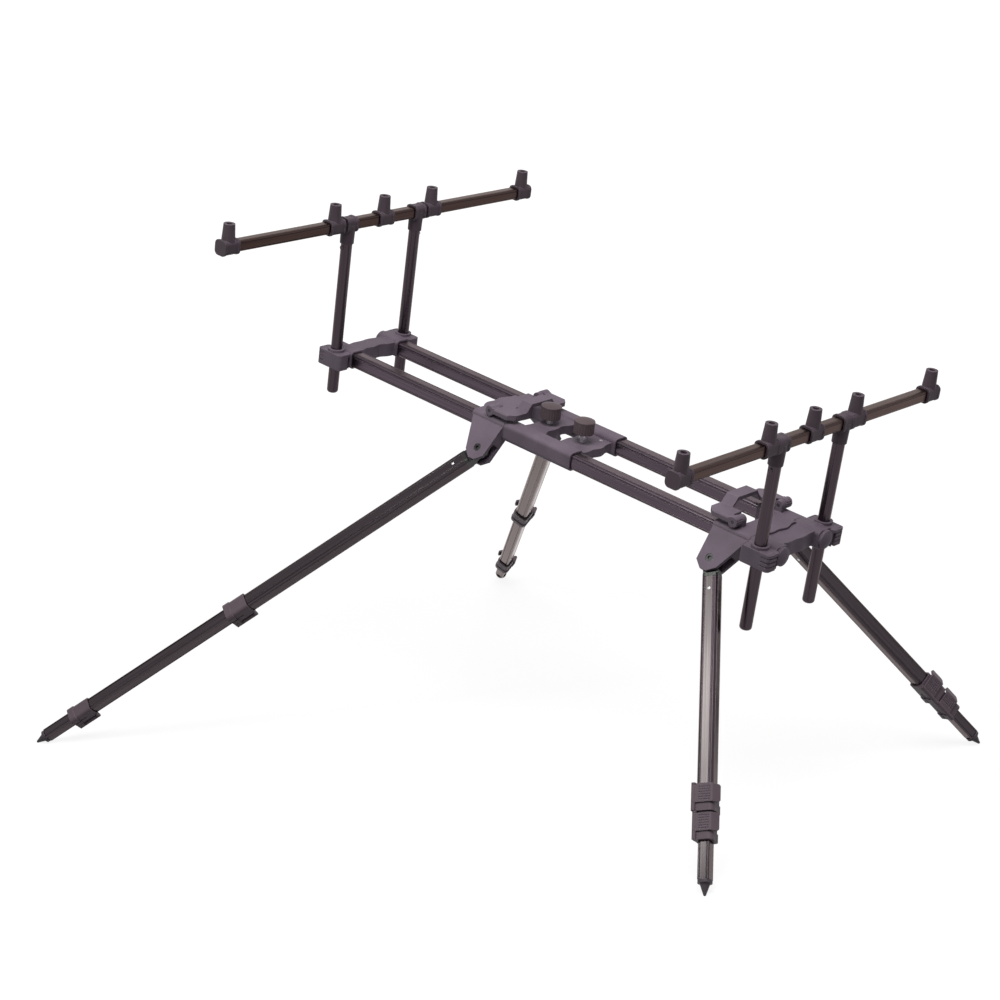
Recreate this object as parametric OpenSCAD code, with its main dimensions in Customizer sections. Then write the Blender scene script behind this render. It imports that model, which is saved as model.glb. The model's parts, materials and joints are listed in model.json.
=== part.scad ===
// Rod pod: two telescoping rails on four folding legs, with a rod bar on two posts at each end.
// The frame is drawn level, with its rails along X, and then set down on the four spikes.

/* [Rails] */
// Distance between the centre lines of the two rails
rail_spacing = 91; // [84:1:100]
// Distance between the front and the rear posts
post_span = 754; // [720:2:800]
// Width of a rail across its flats
rail_w = 20.6; // [19:0.2:22]
// Corner radius of a rail
rail_r = 4; // [3:0.5:5]
// Wall of a rail
rail_wall = 1.4; // [1:0.1:1.8]
// Wall of the inner rails
inner_wall = 1.5; // [1:0.1:2]
// Length of the inner rails
inner_len = 480; // [440:10:500]
// Depth of a rail's seat in an end block
rail_seat = 37; // [30:0.5:38]
// Radius of the long grooves in rails and leg tubes
groove_r = 0.7; // [0.4:0.1:0.9]
// Distance from a groove to the rounded corner beside it
groove_in = 0.8; // [0.5:0.1:1.5]

/* [Mouldings] */
// Wall of a moulding round a rail
sleeve_wall = 2.4; // [2:0.1:3]
// Outer corner radius of a moulding round a rail
sleeve_r = 6; // [4:0.5:7]
// Length of a middle yoke
yoke_len = 59.5; // [56:0.5:66]
// Lip at the mouth of a yoke, round the inner rail
yoke_lip = 3; // [2:0.5:4]
// Front yoke left open between its sleeves, towards its leg block
front_yoke_open = 16; // [12:0.5:18]
// Rear yoke left open between its sleeves, towards the rear
rear_yoke_open = 10; // [10:0.5:18]
// Top of the front yoke's web above the rail axis
front_web_top = 11; // [9:0.5:12]
// Top of the rear yoke's web above the rail axis
rear_web_top = 6; // [4:0.5:8]
// Height of a yoke's web
web_h = 12; // [11:0.5:14]
// Skin of a hollow web
web_skin = 3; // [2.4:0.2:4]
// Screw hole in the rear yoke's web, from the yoke's outer end
screw_in = 20; // [18:0.5:24]
// Screw hole in the rear yoke's web, from the middle line
screw_y = 28; // [24:0.5:29]
// Diameter of a screw hole
screw_d = 3.4; // [3:0.1:4]
// Diameter of a screw hole's counterbore
screw_head_d = 6.4; // [6:0.1:7]
// Depth of a screw hole's counterbore
screw_sink = 1.6; // [1:0.1:2]
// Width of the ribs under a web
rib_w = 2.4; // [2:0.2:4]
// Bulge of the wavy web edges
wave_bulge = 8; // [5:0.5:9]
// Ripple of the wavy web edges
wave_ripple = 1.3; // [0:0.1:2]
// Bulge of the plainer web edges, as a share of the wavy edge
web_sag = 0.3; // [0.1:0.05:0.5]
// Length of one ripple
wave_len = 30; // [22:1:40]
// Steps along half of a wavy edge
wave_steps = 14; // [10:1:20]

/* [End blocks] */
// Part of an end block on the inner side of its posts
end_in = 22; // [20:0.5:26]
// Part of an end block on the outer side of its posts
end_out = 25; // [23:0.5:28]
// Bulge of an end block's outer edge, as a share of the wavy edge
end_bow = 0.5; // [0.2:0.1:0.8]
// Outer web edge of an end block, in from the barrel ends
end_web_in = 17; // [15:0.5:19]
// Diameter of the closed barrel at the end of a rail
barrel_d = 24.6; // [23:0.2:26]
// Radius of the domed barrel end
dome_r = 28; // [20:1:40]
// Height of the post clamp below the rail axis
clamp_low = 12.5; // [11:0.5:14]
// Height of the post clamp above the rail axis
clamp_high = 10; // [9:0.5:11]
// Wall of the clamp outside a post
clamp_wall = 4.6; // [4:0.2:6]
// Corner radius of the clamp
clamp_r = 5; // [3:0.5:6]
// Width of the slots beside the barrel
clamp_slot = 4.2; // [3:0.2:4.6]
// Height of the ring round a post
ring_h = 4; // [3:0.5:6]
// Width of the ring round a post
ring_wall = 3.6; // [3:0.2:4.4]
// Depth of the grooves between the ribs of a clamp's corner
clamp_rib = 1.6; // [1:0.1:2.4]
// Width of the grooves between the ribs of a clamp's corner
clamp_rib_w = 1.4; // [1:0.1:2]
// Length of the ribs along a clamp's outer wall
clamp_rib_len = 12; // [8:0.5:14]
// Width of the border line on a clamp's top
line_w = 0.9; // [0.6:0.1:1.2]
// Border line of a clamp, in from its outer wall
line_in = 1.8; // [1.4:0.1:2.2]
// Depth of the border line
line_deep = 0.6; // [0.4:0.1:1]

/* [Posts and bars] */
// Diameter of a post
post_d = 16; // [14:0.2:17]
// Wall of a post
post_wall = 1.5; // [1.2:0.1:2.5]
// Distance between the two posts of a bar
post_spacing = 133; // [131:1:140]
// Length from the bar's axis to a post's lower end
post_len = 249; // [240:1:260]
// Rounding of a post's lower end
post_end_r = 4; // [2:0.5:5]
// Height of the front bar above the rail axis
front_bar_z = 196.5; // [180:0.5:205]
// Height of the rear bar above the rail axis
rear_bar_z = 147; // [140:0.5:190]
// Length of the front bar
front_bar_len = 592; // [570:2:640]
// Length of the rear bar
rear_bar_len = 536; // [520:2:560]
// Middle rod sockets of the front bar, from its centre
front_socket_y = 94; // [92:1:100]
// Middle rod sockets of the rear bar, from its centre
rear_socket_y = 90; // [89:0.5:100]
// Width of a bar across its flats
bar_w = 15.4; // [14:0.2:16]
// Corner radius of a bar
bar_r = 3.5; // [2.5:0.5:4.5]
// Wall of a bar
bar_wall = 1.3; // [1:0.1:2]
// Wall of the sleeves on a bar
bar_sleeve_wall = 2.1; // [1.6:0.1:3]
// Height of the rims at the ends of a bar's sleeves
rim_h = 0.8; // [0.5:0.1:1.2]
// Length of the rims at the ends of a bar's sleeves
rim_len = 3; // [2:0.5:4]
// Length of a rod socket's sleeve
socket_len = 26; // [22:0.5:27]
// Length of a tee's sleeve
tee_len = 20; // [18:0.5:20.5]
// Diameter of a tee's stub
tee_d = 20.6; // [20:0.2:22]
// Taper of a tee's stub away from the bar
tee_taper = 1.2; // [0.6:0.1:1.4]
// Length of a tee's stub below the bar's axis
tee_drop = 27; // [24:0.5:32]
// Diameter of a rod socket's cone at its foot
cone_d = 18.4; // [16:0.2:19]
// Diameter of a rod socket's cone at its top
cone_top_d = 15.6; // [14:0.2:16]
// Height of a rod socket's cone
cone_h = 22; // [18:0.5:26]
// Tapping diameter of a rod socket, for the 3/8 inch rod rest thread
socket_d = 8.3; // [8:0.1:9]
// Depth of a rod socket
socket_depth = 18; // [14:0.5:20]
// Diameter of the snap button in a post's top
button_d = 6; // [4:0.5:7]
// Height of the snap button
button_h = 1.6; // [1:0.1:2]

/* [Leg blocks] */
// Leg block, from the leg pivot towards the middle of the pod
block_inner = 20; // [19:0.5:24]
// Leg block, from the leg pivot away from the middle of the pod
block_outer = 37; // [34:0.5:42]
// Part of a leg block left open between its sleeves, towards the middle
web_open = 27; // [20:0.5:30]
// Gap between a leg block and what it rests against
block_gap = 0.6; // [0.4:0.1:1]
// Outward tilt of the leg plates
plate_tilt = 38.8; // [36:0.2:42]
// Distance from the rail axis down the plate to the leg pivot
pivot_drop = 42; // [40:0.5:46]
// Offset of the leg's middle plane from the rail axis
leg_offset = 3; // [2:0.25:3.5]
// Thickness of the leg head between the plates
head_t = 12; // [11:0.5:13]
// Thickness of a leg plate
plate_t = 4.7; // [4:0.1:6]
// Reach of a leg plate below the pivot
plate_reach = 17; // [15:0.5:17.5]
// Half width of a leg plate at the pivot
plate_half = 15.5; // [14:0.5:16]
// Leg plate's upper corners in from the ends of its block
plate_in = 0.6; // [0.4:0.1:2]
// Height of the slanted corners of a leg plate
plate_cut = 9; // [6:0.5:11]
// Width of a leg plate at its foot
plate_foot = 9.3; // [6:0.1:12]
// Diameter of the leg pivot bolt
bolt_d = 8; // [6:0.2:9]
// Diameter of the leg bolt's head
bolt_head_d = 10.8; // [10:0.2:12]
// Depth of the leg bolt's counterbore
bolt_recess = 2.6; // [2:0.1:3]
// Leg bolt's head below the face of its plate
bolt_sink = 0.6; // [0.3:0.1:1]
// Hexagon socket in the leg bolt's head, across corners
bolt_hex = 5.8; // [4:0.2:6.4]
// Height of the cam lever's pivot above the rail axis
cam_z = 20.5; // [20:0.25:23]
// Cam lever's pivot, from the leg pivot away from the middle
cam_x = 8; // [6:0.5:12]
// Radius of the cam lever's round ends
cam_r = 7; // [6.4:0.1:7.2]
// Diameter of the cam lever's pin
cam_pin_d = 5; // [4:0.2:6]
// Width of a cam lever's arm
arm_w = 12; // [10:0.5:13]
// Cut corners at the tip of the cam lever's arms
arm_cut = 9; // [6:0.5:11]
// Bevel along the cam lever's outer edges
arm_bevel = 1.4; // [0.8:0.1:2]
// Ribs round the back of the cam lever's ends
cam_ribs = 6; // [4:1:8]
// First rib, as an angle round the end
rib_from = 100; // [95:1:110]
// Part of the end that the ribs cover, as an angle
rib_turn = 130; // [90:1:140]
// Radius of the grooves between those ribs
cam_groove = 0.8; // [0.5:0.1:1]
// Width of an ear under the cam lever
ear_w = 9; // [7:0.5:10]
// Reach of the cam lever from the leg pivot towards the middle
cam_reach = 33; // [30:0.5:34]
// Thickness of the cam lever's flat part
cam_t = 5; // [4:0.2:6]
// Gap between the cam lever's flat part and the ear beside it
pad_gap = 1.4; // [1:0.1:2]
// Rise of the cam lever's finger bridge
bridge_rise = 11; // [8:0.5:14]
// Half width of the finger bridge's raised top
bridge_half = 20; // [16:0.5:22]
// Run of the slopes beside the finger bridge
bridge_run = 9; // [7:0.5:11]
// Width of the finger bridge
bridge_w = 18; // [14:0.5:20]

/* [Knobs] */
// Diameter of a locking knob
knob_d = 28; // [24:0.5:30]
// Height of a locking knob
knob_h = 20; // [16:0.5:24]
// Height of a knob's underside above the rail axis
knob_z = 19.5; // [18:0.5:22]
// Rounding of a knob's top edge
knob_r = 4; // [2:0.5:5]
// Radius of a knob's domed top
knob_dome = 36; // [28:1:60]
// Number of grip flutes round a knob
knob_flutes = 24; // [16:1:32]
// Plain band above the grip flutes
flute_band = 0.8; // [0.5:0.1:2]
// Diameter of a knob's stud
stud_d = 6; // [5:0.5:8]
// Depth of the stud in its knob
stud_hold = 10; // [6:0.5:12]
// Diameter of the stud's shank between knob and web
shank_d = 9.6; // [9:0.2:11]
// Nut under a web, across corners
nut_d = 11.4; // [10:0.2:13]
// Height of the nut under a web
nut_h = 4.2; // [3:0.2:5]
// Diameter of the washer on a knob's stud
washer_d = 13; // [12:0.5:16]
// Thickness of the washer on a knob's stud
washer_t = 2; // [1:0.5:3]

/* [Legs] */
// Swing of the legs away from straight down, at the stop
leg_swing = 31.6; // [28:0.2:34]
// Width of the upper leg tube across its flats
leg_w = 20.4; // [19:0.2:21]
// Corner radius of the upper leg tube
leg_r = 4; // [3:0.5:5]
// Wall of the leg tubes
leg_wall = 1.1; // [0.9:0.1:1.3]
// Start of the upper leg tube below the pivot
leg_top = 24; // [23:0.5:28]
// Height of the square shoulder of a leg head
shoulder_h = 4.4; // [4:0.1:4.8]
// Wall of a leg head round its bolt
tongue_wall = 8; // [7:0.5:8.5]
// Gap over a leg head, under the roof of its slot
roof_gap = 1.5; // [1:0.25:2]
// Length of a leg head's plug in its tube
head_plug = 30; // [20:1:32]
// Upper collar of a front leg, from the pivot
front_collar = 388; // [370:1:400]
// Upper collar of a rear leg, from the pivot
rear_collar = 290; // [280:1:310]
// Middle tube pulled out of a front leg, between the collars
front_pull = 240; // [200:1:250]
// Middle tube pulled out of a rear leg, between the collars
rear_pull = 0.4; // [0.4:0.2:30]
// Lower tube showing under the lower collar
low_show = 46; // [40:1:60]
// Length of a front leg's middle tube
front_mid_len = 330; // [310:1:340]
// Length of a front leg's lower tube
front_low_len = 300; // [280:1:310]
// Length of a rear leg's middle tube
rear_mid_len = 262; // [250:1:266]
// Length of a rear leg's lower tube
rear_low_len = 250; // [230:1:255]
// Length of a collar
collar_len = 34; // [32:0.5:38]
// Wall of a collar
collar_wall = 2.2; // [2:0.1:2.6]
// Outer corner radius of a collar
collar_r = 5; // [4:0.5:5.5]
// Width of the slit in a collar
collar_slit = 1.6; // [1:0.1:2.5]
// Start of the slit below the top of a collar
slit_in = 14; // [10:0.5:18]
// Length of tube inside a collar
collar_seat = 18; // [14:0.5:20]
// Thickness of a flip lever
lever_t = 3; // [2.4:0.1:3.4]
// Slope of a lever's tab away from its grip
tab_slope = 48; // [40:1:60]
// Collar above its lever
lever_top = 2.6; // [2:0.1:4]
// Length of a lever along the leg
lever_len = 21.6; // [18:0.2:24]
// Reach of a lever's tab
tab_reach = 10; // [7:0.5:12]
// Rounding of the tab's free corners
tab_r = 4; // [2:0.5:6]
// Share of the rounding that the free corners are set in by
tab_soft = 0.94; // [0.9:0.01:0.96]
// Rim of the band below a lever
band_rim = 1.2; // [0.6:0.1:1.6]
// Rows of the chequered grip of a lever
grip_rows = 6; // [4:1:8]
// Columns of the chequered grip of a lever
grip_columns = 4; // [3:1:5]
// Grip in from the bend of a lever
grip_in = 1; // [0.5:0.5:2]
// Facets round the bend of a lever
bend_steps = 4; // [2:1:8]
// Width of the grooves of the grip
grip_w = 1; // [0.6:0.1:1.2]
// Depth of the grooves across a lever
grip_deep = 0.6; // [0.4:0.1:0.8]
// Depth of the grooves along the leg, as a share of the others
column_share = 0.8; // [0.7:0.05:0.9]
// Length of the grip, as a share of the collar's width
grip_share = 0.6; // [0.5:0.02:0.66]
// Radius of a lever's hinge eye
eye_r = 2.7; // [2.4:0.1:2.8]
// Hinge eye inside the collar's side
eye_in = 1; // [0.5:0.1:1.4]
// Hinge eye beyond the collar's face
eye_out = 2; // [1.9:0.1:2.6]
// Radius of a lever's hinge pin
eye_pin_r = 1.4; // [1.1:0.1:1.5]
// Width of a spike's flange beyond the lower tube
flange_rim = 1.5; // [1:0.1:2]
// Thickness of a spike's flange
flange_t = 4; // [3:0.5:5]
// Length of a spike's cone
spike_len = 13; // [10:0.5:18]
// Diameter of a spike's cone at its flange
spike_d = 13; // [10:0.5:14]
// Radius of a spike's rounded point
tip_r = 1.9; // [1.4:0.1:2.4]

/* [Fits] */
// Gap on each side of a sliding tube
slide_gap = 0.3; // [0.25:0.05:0.4]
// Gap on each side of a fixed seat
seat_gap = 0.05; // [0.03:0.01:0.1]
// Radial play of a round running fit
run_gap = 0.05; // [0.03:0.01:0.08]

/* [Hidden] */
$fn = 48;

tube_color = [0.21, 0.19, 0.22];
mould_color = [0.27, 0.25, 0.28];
metal_color = [0.66, 0.66, 0.68];
front = -1;
rear = 1;
left = -1;
right = 1;
over = 1;

rail_y = rail_spacing / 2;
post_y = post_spacing / 2;
post_x = post_span / 2;
sleeve_w = rail_w + 2 * (seat_gap + sleeve_wall);
inner_w = rail_w - 2 * (rail_wall + slide_gap);
inner_r = rail_r - rail_wall - slide_gap;
end_face = post_x - end_in;
web_y = rail_y - sleeve_w / 2 + sleeve_wall / 2;
bulge_y = rail_y - sleeve_w / 2 - slide_gap;

// Leg pivots: the front block rests against its yoke, the rear block against its end block
front_pivot_x = -yoke_len - block_gap - block_inner;
rear_pivot_x = end_face - block_gap - block_outer;

mid_w = leg_w - 2 * (leg_wall + slide_gap);
mid_r = leg_r - leg_wall - slide_gap;
low_w = mid_w - 2 * (leg_wall + slide_gap);
low_r = mid_r - leg_wall - slide_gap / 2;

function collar_at(end) = end == front ? front_collar : rear_collar;
function pull_at(end) = end == front ? front_pull : rear_pull;
function mid_len_at(end) = end == front ? front_mid_len : rear_mid_len;
function low_len_at(end) = end == front ? front_low_len : rear_low_len;
function pivot_x_at(end) = end == front ? front_pivot_x : rear_pivot_x;
function low_collar_at(end) = collar_at(end) + collar_len + pull_at(end);
function low_end_at(end) = low_collar_at(end) + collar_len + low_show;
function tip_at(end) = low_end_at(end) + flange_t + spike_len;

// Spike points in the level frame, and the slope that sets all four on the ground
function tip_x(end) = pivot_x_at(end) + end * tip_at(end) * sin(leg_swing);
function tip_down(end) = pivot_drop + tip_at(end) * cos(leg_swing);
function tip_z(end) = leg_offset * sin(plate_tilt) - tip_down(end) * cos(plate_tilt);
pitch = atan2(tip_z(rear) - tip_z(front), tip_x(rear) - tip_x(front));
function set_x(x, z) = x * cos(pitch) + z * sin(pitch);
function set_z(x, z) = z * cos(pitch) - x * sin(pitch);
stand_x = (set_x(tip_x(front), tip_z(front)) + set_x(tip_x(rear), tip_z(rear))) / 2;
stand_z = set_z(tip_x(front), tip_z(front)) - tip_r;

// Wavy edge of the moulded webs, zero at the rails and fullest between them
function wave(y) = wave_bulge * (1 - pow(y / rail_y, 2)) + wave_ripple * sin(360 * y / wave_len);
wave_ys = [for (i = [-wave_steps : wave_steps]) i * rail_y / wave_steps];

module stand() {
    translate([-stand_x, 0, -stand_z])
        rotate([0, pitch, 0])
            children();
}

// A flat outline in the YZ plane, drawn out along X
module along_x(from, to) {
    translate([from, 0, 0])
        rotate([90, 0, 90])
            linear_extrude(to - from)
                children();
}

// A flat outline in the XZ plane, drawn out along Y
module along_y(from, to) {
    translate([0, to, 0])
        rotate([90, 0, 0])
            linear_extrude(to - from)
                children();
}

module each_side() {
    children();
    mirror([0, 1, 0])
        children();
}

// The rear end is the mirror image of the front end
module at_end(end) {
    if (end == front)
        children();
    else
        mirror([1, 0, 0])
            children();
}

module rounded_square(w, r) {
    square([w - 2 * r, w], center = true);
    square([w, w - 2 * r], center = true);
    for (x = [-1, 1], y = [-1, 1])
        translate([x * (w / 2 - r), y * (w / 2 - r)])
            circle(r);
}

module rounded_box(x0, x1, y0, y1, r) {
    translate([x0 + r, y0])
        square([x1 - x0 - 2 * r, y1 - y0]);
    translate([x0, y0 + r])
        square([x1 - x0, y1 - y0 - 2 * r]);
    for (x = [x0 + r, x1 - r], y = [y0 + r, y1 - r])
        translate([x, y])
            circle(r);
}

// Extruded tube with two long grooves in each face
module grooved_tube(w, r, wall) {
    difference() {
        rounded_square(w, r);
        rounded_square(w - 2 * wall, max(r - wall, groove_r));
        for (turn = [0 : 90 : 270], side = [-1, 1])
            rotate(turn)
                translate([w / 2, side * (w / 2 - r - groove_in)])
                    circle(groove_r, $fn = 24);
    }
}

module plain_tube(w, r, wall) {
    difference() {
        rounded_square(w, r);
        rounded_square(w - 2 * wall, max(r - wall, groove_r));
    }
}

module outer_rails(end) {
    color(tube_color)
        stand()
            at_end(end)
                each_side()
                    along_x(-end_face - rail_seat, -yoke_lip - seat_gap)
                        translate([rail_y, 0])
                            grooved_tube(rail_w, rail_r, rail_wall);
}

module inner_rails() {
    color(metal_color)
        stand()
            each_side()
                along_x(-inner_len / 2, inner_len / 2)
                    translate([rail_y, 0])
                        plain_tube(inner_w, inner_r, inner_wall);
}

// Web outline between the rails, with a wavy edge at both ends
module wavy_web(from, to, from_wave, to_wave) {
    polygon(concat(
        [for (y = wave_ys) [from + from_wave * wave(y), y]],
        [for (i = [0 : len(wave_ys) - 1])
            let (y = wave_ys[len(wave_ys) - 1 - i])
            [to + to_wave * wave(y), y]]));
}

// Outlet for a rail through a moulding
module rail_way(from, to, gap) {
    each_side()
        along_x(from, to)
            translate([rail_y, 0])
                rounded_square(rail_w + 2 * gap, rail_r + gap);
}

// Hollows left under a web: two bays beside a rib on the middle line
module web_bays(from, to, top, low, half_y) {
    each_side()
        translate([from, rib_w / 2, low - over])
            cube([to - from, half_y - rib_w / 2, top - web_skin - low + over]);
}

module yoke(end, web_top, web_open_len, screwed) {
    web_from = -yoke_len + web_open_len;
    web_to = -yoke_lip - over;
    knob_x = -yoke_len / 2;
    stud_seat = washer_d / 2 + web_skin;
    color(mould_color)
        stand()
            at_end(end)
                difference() {
                    union() {
                        each_side()
                            along_x(-yoke_len, -seat_gap)
                                translate([rail_y, 0])
                                    rounded_square(sleeve_w, sleeve_r);
                        difference() {
                            translate([0, 0, web_top - web_h])
                                linear_extrude(web_h)
                                    wavy_web(web_from, web_to, screwed ? -1 : web_sag, -1);
                            web_bays(knob_x + stud_seat, web_to - wave_bulge - web_skin, web_top,
                                web_top - web_h, web_y - web_skin);
                            web_bays(web_from, knob_x - stud_seat, web_top,
                                web_top - web_h, web_y - web_skin);
                        }
                    }
                    rail_way(-yoke_len - over, -yoke_lip, seat_gap);
                    each_side()
                        along_x(-yoke_len, over)
                            translate([rail_y, 0])
                                rounded_square(inner_w + 2 * slide_gap, inner_r + slide_gap);
                    translate([knob_x, 0, web_top - web_h - over])
                        cylinder(d = stud_d + 2 * run_gap, h = web_h + 2 * over);
                    if (screwed)
                        each_side()
                            translate([screw_in - yoke_len, screw_y, 0]) {
                                translate([0, 0, web_top - web_h - over])
                                    cylinder(d = screw_d, h = web_h + 2 * over);
                                translate([0, 0, web_top - screw_sink])
                                    cylinder(d = screw_head_d, h = screw_sink + over);
                            }
                }
}

module knob(end) {
    knob_x = -yoke_len / 2;
    flute_d = PI * knob_d / knob_flutes / 2;
    color(mould_color)
        stand()
            at_end(end)
                translate([knob_x, 0, knob_z])
                    difference() {
                        rotate_extrude() {
                            intersection() {
                                union() {
                                    square([knob_d / 2 - knob_r, knob_h]);
                                    square([knob_d / 2, knob_h - knob_r]);
                                    translate([knob_d / 2 - knob_r, knob_h - knob_r])
                                        circle(knob_r);
                                }
                                translate([0, knob_h - knob_dome])
                                    circle(knob_dome, $fn = 128);
                                square([knob_d, knob_h + over]);
                            }
                        }
                        for (i = [0 : knob_flutes - 1])
                            rotate((i + 0.5) * 360 / knob_flutes)
                                translate([knob_d / 2 + flute_d / 4, 0, -over])
                                    cylinder(d = flute_d, h = knob_h - knob_r - flute_band + over, $fn = 16);
                        translate([0, 0, -over])
                            cylinder(d = stud_d + 2 * seat_gap, h = stud_hold + over);
                    }
}

// Stud through the web, with a washer under the knob and a nut under the web
module knob_stud(end, web_top) {
    knob_x = -yoke_len / 2;
    low = web_top - web_h - nut_h - slide_gap;
    color(metal_color)
        stand()
            at_end(end)
                translate([knob_x, 0, 0]) {
                    translate([0, 0, low])
                        cylinder(d = stud_d, h = knob_z + stud_hold - seat_gap - low);
                    translate([0, 0, knob_z - seat_gap - washer_t])
                        cylinder(d = washer_d, h = washer_t);
                    translate([0, 0, web_top + slide_gap])
                        cylinder(d = shank_d, h = knob_z - web_top - slide_gap - washer_t);
                    translate([0, 0, low])
                        cylinder(d = nut_d, h = nut_h, $fn = 6);
                }
}

// Strip just inside the outline of a clamp's outer corner
module clamp_corner(outer, clamp_in, clamp_out, deep) {
    difference() {
        translate([outer - over, slot_end()])
            square([clamp_rib_len + over, clamp_out + over - slot_end()]);
        rounded_box(outer + deep, outer + 2 * clamp_rib_len, clamp_in, clamp_out - deep, clamp_r - deep);
    }
}

// Border line that follows the outline of a clamp's top
module clamp_line(outer, inner, clamp_in, clamp_out) {
    difference() {
        rounded_box(outer + line_in, inner - line_in, clamp_in, clamp_out - line_in, clamp_r - line_in);
        rounded_box(outer + line_in + line_w, inner - line_in - line_w, clamp_in - over,
            clamp_out - line_in - line_w, clamp_r - line_in - line_w);
        translate([outer, clamp_in - 2 * over])
            square([inner - outer, slot_end() + 3 * over - clamp_in]);
    }
}

function slot_end() = rail_y + sleeve_w / 2 + clamp_slot;

// End block: two rail seats with domed barrels, a wavy web and a clamp round each post
module end_block(end) {
    inner = -end_face;
    outer = -post_x - end_out;
    clamp_in = rail_y + barrel_d / 2 - over;
    clamp_out = post_y + post_d / 2 + clamp_wall;
    slot_in = rail_y + sleeve_w / 2;
    slot_reach = end_in - post_d / 2 - clamp_wall;
    slot_reach_out = end_out - post_d / 2 - clamp_wall;
    rib_gap = (clamp_low + clamp_high) / 4;
    color(mould_color)
        stand()
            at_end(end)
                difference() {
                    union() {
                        each_side() {
                            along_x(-end_face - rail_seat - web_skin, inner)
                                translate([rail_y, 0])
                                    rounded_square(sleeve_w, sleeve_r);
                            intersection() {
                                translate([outer, rail_y, 0])
                                    rotate([0, 90, 0])
                                        cylinder(d = barrel_d, h = end_out);
                                translate([outer + dome_r, rail_y, 0])
                                    sphere(dome_r, $fn = 64);
                            }
                            translate([0, 0, -clamp_low])
                                linear_extrude(clamp_low + clamp_high)
                                    rounded_box(outer + over, inner - over, clamp_in, clamp_out, clamp_r);
                            translate([-post_x, post_y, clamp_high - over])
                                cylinder(r = post_d / 2 + ring_wall, h = ring_h + over);
                        }
                        difference() {
                            translate([0, 0, -clamp_low + web_skin])
                                linear_extrude(clamp_low + clamp_high - web_skin)
                                    wavy_web(outer + end_web_in, inner, -end_bow, -1);
                            web_bays(outer + end_web_in, inner - wave_bulge - web_skin, clamp_high,
                                -clamp_low + web_skin, web_y - web_skin);
                        }
                    }
                    rail_way(-end_face - rail_seat - seat_gap, inner + over, seat_gap);
                    each_side() {
                        translate([-post_x, post_y, -clamp_low - over])
                            cylinder(d = post_d + 2 * run_gap,
                                h = clamp_low + clamp_high + ring_h + 2 * over);
                        translate([inner - slot_reach, slot_in, -clamp_low - over])
                            cube([slot_reach + over, clamp_slot, clamp_low + clamp_high - web_skin]);
                        translate([outer - over, slot_in, -clamp_low - over])
                            cube([slot_reach_out + over, clamp_slot, clamp_low + clamp_high - web_skin]);
                        for (i = [1 : 3])
                            translate([0, 0, -clamp_low + i * rib_gap])
                                linear_extrude(clamp_rib_w)
                                    clamp_corner(outer + over, clamp_in, clamp_out, clamp_rib);
                        translate([0, 0, clamp_high - line_deep])
                            linear_extrude(line_deep + over)
                                clamp_line(outer + over, inner - over, clamp_in, clamp_out);
                    }
                }
}

// Places a shape in the plane of the left leg plate: X along the rail, minus Z down the plate
module on_plate(end) {
    at_end(end)
        translate([end * -pivot_x_at(end), 0, 0])
            translate([0, -rail_y, 0])
                rotate([-plate_tilt, 0, 0])
                    translate([0, -leg_offset, -pivot_drop])
                        children();
}

// Leg plate seen square on, with the pivot at the origin
module plate_outline() {
    corner = plate_reach - plate_cut;
    polygon([[plate_in - block_outer, pivot_drop], [-plate_half, -corner], [-plate_foot / 2, -plate_reach],
        [plate_foot / 2, -plate_reach], [plate_half, -corner], [block_inner - plate_in, pivot_drop]]);
}

module leg_block(end) {
    base_x = end * -pivot_x_at(end);
    from = base_x - block_outer;
    to = base_x + block_inner;
    plates = head_t + 2 * slide_gap + 2 * plate_t;
    roof = bolt_d / 2 + tongue_wall + roof_gap;
    web_top = sleeve_w / 2;
    ear_y = rail_y + sleeve_w / 2 - arm_w - slide_gap;
    color(mould_color)
        stand()
            difference() {
                union() {
                    at_end(end) {
                        each_side() {
                            along_x(from, to)
                                translate([rail_y, 0])
                                    rounded_square(sleeve_w, sleeve_r);
                            along_y(ear_y - ear_w, ear_y) {
                                translate([base_x - cam_x, cam_z])
                                    circle(cam_r - slide_gap * 2);
                                translate([base_x - cam_x - cam_r + slide_gap * 2, 0])
                                    square([2 * cam_r - 4 * slide_gap, cam_z]);
                            }
                        }
                        difference() {
                            translate([0, 0, -web_top + web_skin])
                                linear_extrude(2 * web_top - web_skin)
                                    difference() {
                                        wavy_web(from, to - web_open, -1, -web_sag);
                                        each_side()
                                            translate([from - 2 * wave_bulge, bulge_y])
                                                square([2 * wave_bulge, rail_y]);
                                    }
                            web_bays(from, to - web_open - web_skin - web_sag * wave_bulge, web_top,
                                -web_top + web_skin, web_y - web_skin);
                        }
                    }
                    each_side()
                        on_plate(end)
                            difference() {
                                translate([0, plates / 2, 0])
                                    rotate([90, 0, 0])
                                        linear_extrude(plates)
                                            plate_outline();
                                translate([-block_outer - over, -head_t / 2 - slide_gap, -pivot_drop])
                                    cube([block_outer + block_inner + 2 * over, head_t + 2 * slide_gap,
                                        pivot_drop + roof]);
                            }
                }
                at_end(end)
                    rail_way(from - over, to + over, slide_gap);
                at_end(end)
                    translate([base_x - cam_x, rail_y + sleeve_w / 2, cam_z])
                        rotate([90, 0, 0])
                            cylinder(d = cam_pin_d + 2 * seat_gap, h = rail_spacing + sleeve_w);
                each_side()
                    on_plate(end)
                        rotate([90, 0, 0]) {
                            cylinder(d = bolt_d + 2 * seat_gap, h = 2 * plates, center = true);
                            translate([0, 0, plates / 2 - bolt_recess])
                                cylinder(d = bolt_head_d + 2 * seat_gap, h = bolt_recess + over);
                        }
            }
}

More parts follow.
